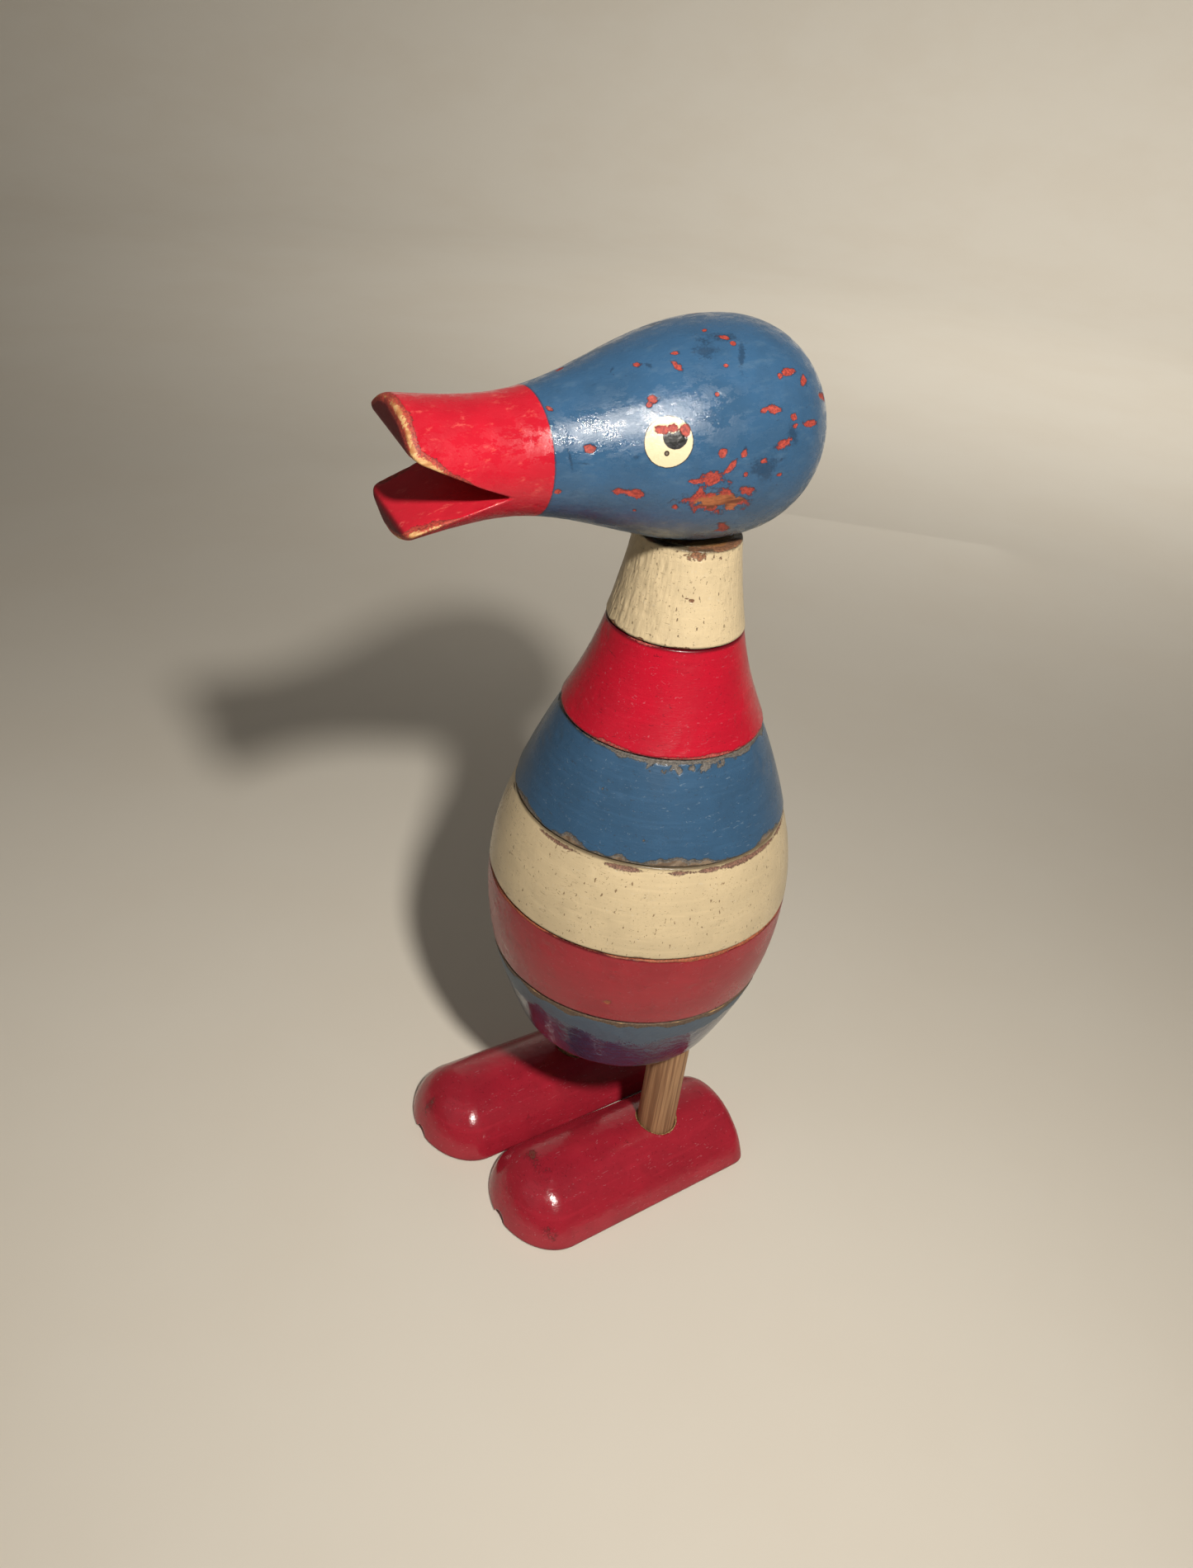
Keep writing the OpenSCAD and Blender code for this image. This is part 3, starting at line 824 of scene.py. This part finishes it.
def head_material():
    """Blue enamel with painted eyes, and a red bill."""
    paint = Paint("head_enamel")
    place = paint.place
    x_of = paint.tree.nodes.new("ShaderNodeSeparateXYZ")
    paint.feed(x_of.inputs[0], place)
    fine = paint.noise(place, 1.9, 4, 0.65)
    jitter = paint.math("SUBTRACT", fine, 0.5)
    chip = paint.math("ADD", paint.read("chip"), paint.math("MULTIPLY", jitter, 1.7))
    wear = paint.math("ADD", paint.read("wear"), paint.math("MULTIPLY", jitter, 2.0))
    gone = paint.band(chip, -0.04, 0.06)
    bare = paint.band(wear, -0.10, 0.14)
    soft = paint.noise(place, 0.07, 4, 0.6)
    blue = paint.mix(paint.band(soft, 0.36, 0.66, 0.0, 0.6), colour(56, 93, 128), colour(50, 80, 108))
    smear = paint.noise(paint.stretch((0.35, 1, 1), (3, 7, 1)), 0.45, 5, 0.7)
    blue = paint.mix(paint.band(smear, 0.5, 0.75, 0.0, 0.5), blue, colour(84, 112, 138))
    smudge = paint.math("ADD", paint.read("smudge"), paint.math("MULTIPLY", jitter, 2.4))
    blue = paint.mix(paint.band(smudge, -0.1, 0.7, 0.0, 0.6), blue, colour(34, 52, 74))
    scratch = paint.noise(paint.stretch((0.7, 2.0, 1.6), (5, 3, 1)), 0.8, 2, 0.5, 1.6)
    blue = paint.mix(paint.band(scratch, 0.70, 0.74, 0.0, 0.6), blue, colour(40, 56, 78))
    # A dark rim just outside each chip: grime at the broken paint edge, and painted shade of the paint's step
    # there.
    blue = paint.mix(paint.band(chip, -0.35, -0.05, 0.0, 0.55), blue, colour(38, 52, 72))
    red = paint.mix(paint.band(soft, 0.36, 0.66, 0.0, 0.6), colour(198, 30, 48), colour(176, 24, 41))
    scuff = paint.noise(paint.stretch((0.45, 1, 1), (9, 4, 2)), 0.6, 5, 0.75)
    red = paint.mix(paint.band(scuff, 0.565, 0.69, 0.0, 0.55), red, colour(222, 100, 90))
    # Painted shade: the bill's end face is darkened towards dark maroon.
    red = paint.mix(paint.math("MULTIPLY", paint.read("darkening"), 0.85), red, colour(92, 16, 26))
    edge = paint.math("ADD", x_of.outputs[0], paint.math("MULTIPLY", jitter, 0.35))
    coat = paint.mix(paint.band(edge, BILL_PAINT_X - 0.08, BILL_PAINT_X + 0.08), blue, red)
    line_off = paint.math("ABSOLUTE", paint.math("SUBTRACT", edge, BILL_PAINT_X - 0.1))
    coat = paint.mix(paint.band(line_off, 0.25, 0.08, 0.0, 0.6), coat, colour(60, 40, 56))

    def on_skin(x, degrees, side):
        depth = float(head_radius(np.array([x]))[0])
        angle = math.radians(degrees)
        return x, side * depth * math.cos(angle), depth * math.sin(angle)

    for side in (1, -1):
        away = paint.away(on_skin(EYE_X, EYE_ANGLE, side))
        away = paint.math("ADD", away, paint.math("MULTIPLY", jitter, 0.3))
        coat = paint.mix(paint.band(away, EYE_R + 0.25, EYE_R + 0.12), coat, colour(40, 44, 52))
        coat = paint.mix(paint.band(away, EYE_R + 0.05, EYE_R - 0.08), coat, colour(226, 208, 172))
        pupil = paint.away(on_skin(EYE_X - 1.4, EYE_ANGLE + 3, side))
        pupil = paint.math("ADD", pupil, paint.math("MULTIPLY", jitter, 0.3))
        black = paint.band(pupil, 2.75, 2.6)
        if side == 1:
            flaked = paint.math("ADD", paint.away(on_skin(EYE_X - 1.2, EYE_ANGLE + 10, side)),
                                paint.math("MULTIPLY", jitter, 1.6))
            black = paint.math("MULTIPLY", black, paint.band(flaked, 1.8, 1.95))
        coat = paint.mix(black, coat, colour(20, 20, 22))
        dot = paint.away(on_skin(EYE_X + 0.5, EYE_ANGLE - 6.3, side))
        coat = paint.mix(paint.band(dot, 0.62, 0.52), coat, colour(48, 40, 36))
        coat = paint.mix(paint.band(dot, 0.36, 0.26), coat, colour(120, 110, 98))
    under = paint.mix(paint.band(fine, 0.3, 0.7), colour(194, 78, 62), colour(118, 40, 38))
    on_bill = paint.band(x_of.outputs[0], BILL_PAINT_X, BILL_PAINT_X + 0.2)
    wood = paint.mix(on_bill, bare_wood(paint, (174, 104, 62), (112, 60, 40), (0.16, 1, 1)),
                     bare_wood(paint, (226, 182, 124), (190, 128, 78), (0.16, 1, 1)))
    base = paint.mix(gone, coat, paint.mix(bare, under, wood))
    rough = paint.band(paint.noise(place, 0.6, 6, 0.85), 0.38, 0.62, 0.05, 0.14)
    matt = paint.noise(paint.stretch((0.8, 1.5, 1.5), (2, 6, 4)), 0.24, 4, 0.7)
    rough = paint.math("MAXIMUM", rough, paint.band(matt, 0.44, 0.52, 0.0, 0.34))
    rough = paint.math("MAXIMUM", rough, paint.math("MULTIPLY", paint.read("sawn"), 0.5))
    rough = paint.math("MAXIMUM", rough, paint.band(chip, -0.05, 0.05, 0.0, 0.6))
    normal = paint.bump(paint.noise(place, 0.28, 3, 0.5), 0.22, 0.8)
    normal = paint.bump(paint.noise(paint.stretch((0.8, 1.6, 1.6)), 1.1, 5, 0.8), 0.075, 0.9, normal)
    normal = paint.bump(paint.math("MULTIPLY", gone, -1.0), 0.12, 1.0, normal)
    return paint.finish(base, rough, normal)


def build_head():
    piece, points = carve("head_skin", "head", head_shape, head_detail, 0.31)
    q = to_head(points)
    bill = q[:, 0] > BILL_PAINT_X
    edge = bill_wear(q)
    set_field(piece.data, "chip", np.where(bill, edge, chip_field(q)))
    angle = np.degrees(np.arctan2(q[:, 2], q[:, 1]))
    x, at, length, width = BARE_PATCH
    across = (angle - at) * 0.41  # millimetres a degree there
    patch = 0.6 - np.hypot((q[:, 0] - x) / length, across / width)
    patch = patch + 0.9 * fractal(q * (0.5, 1, 1), 2.2, 83)
    set_field(piece.data, "wear", np.where(bill, edge - 1.0, patch))
    set_field(piece.data, "smudge", spot_field(q, SMUDGES, 0.5, 88))
    # Painted shade on the bill's end face, which faces away from the light.
    set_field(piece.data, "darkening", smooth_step(q[:, 0], HEAD_FRONT - 1.0, HEAD_FRONT - 0.3))
    inward = head_radius(np.maximum(q[:, 0], 0)) - np.hypot(q[:, 1], q[:, 2])  # on the mouth's sawn faces
    set_field(piece.data, "sawn", smooth_step(q[:, 0], 52, 54) * smooth_step(inward, 0.4, 1.2))
    set_place(piece.data, q)
    piece.data.materials.append(head_material())
    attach(piece, "head")
    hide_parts("head")


build_head()


# ------------------------------------------------------------------ floor, light and camera

CAMERA_PLACE = Vector((0.2052, 0.1770, 0.3113))
CAMERA_TURN = tuple(math.radians(a) for a in (55.74, -5.84, 137.79))


def build_floor():
    """A pale paper sweep: flat under the toy, curving up far away on every side."""
    paint = Paint("paper_floor")
    coordinates = paint.tree.nodes.new("ShaderNodeTexCoord")
    paint.place = coordinates.outputs["Object"]
    mottle = paint.noise(paint.place, 7, 4, 0.6)
    base = paint.mix(paint.band(mottle, 0.35, 0.7), colour(233, 226, 213), colour(231, 223, 209))
    material = paint.finish(base, 0.85, paint.bump(paint.noise(paint.place, 900, 2), 0.05, 0.3))
    grid = bmesh.new()
    bmesh.ops.create_grid(grid, x_segments=120, y_segments=120, size=3.0)
    for vertex in grid.verts:
        vertex.co.z = 0.6 * max(0.0, math.hypot(vertex.co.x, vertex.co.y) - 1.5) ** 2
    mesh = bpy.data.meshes.new("paper_floor")
    grid.to_mesh(mesh)
    grid.free()
    mesh.shade_smooth()
    floor = new_object("paper_floor", mesh)
    mesh.materials.append(material)


def area_light(name, place, target, size, power, tint):
    light = bpy.data.lights.new(name, "AREA")
    light.shape = "DISK"
    light.size = size
    light.energy = power
    light.color = tint
    light.spread = math.radians(150)
    lamp = bpy.data.objects.new(name, light)
    lamp.location = place
    lamp.rotation_euler = (Vector(target) - Vector(place)).to_track_quat("-Z", "Y").to_euler()
    bpy.context.scene.collection.objects.link(lamp)


def build_lights():
    area_light("key", (0.160, 0.289, 0.485), (0, 0, 0.16), 0.04, 1.8, (1.0, 0.95, 0.87))
    area_light("bounce", (-0.42, -0.34, 0.22), (0, 0, 0.13), 0.6, 0.12, (1.0, 0.94, 0.86))
    area_light("front", (0.7, -0.1, 0.7), (0, 0, 0.12), 0.9, 0.25, (1.0, 0.97, 0.94))
    area_light("backdrop", (-1.0, -0.3, 1.1), (-1.8, -1.0, 0), 1.4, 11, (1.0, 0.96, 0.89))
    world = bpy.data.worlds.new("studio")
    world.use_nodes = True
    world.node_tree.nodes["Background"].inputs["Color"].default_value = (1.0, 0.96, 0.90, 1)
    world.node_tree.nodes["Background"].inputs["Strength"].default_value = 0.08
    bpy.context.scene.world = world
    bpy.context.scene.view_settings.view_transform = "Standard"


def build_camera():
    lens = bpy.data.cameras.new("camera")
    lens.sensor_width = 36
    lens.lens = 27.31
    lens.clip_start = 0.01
    camera = bpy.data.objects.new("camera", lens)
    camera.location = CAMERA_PLACE
    camera.rotation_euler = CAMERA_TURN
    bpy.context.scene.collection.objects.link(camera)
    bpy.context.scene.camera = camera


build_floor()
build_lights()
build_camera()
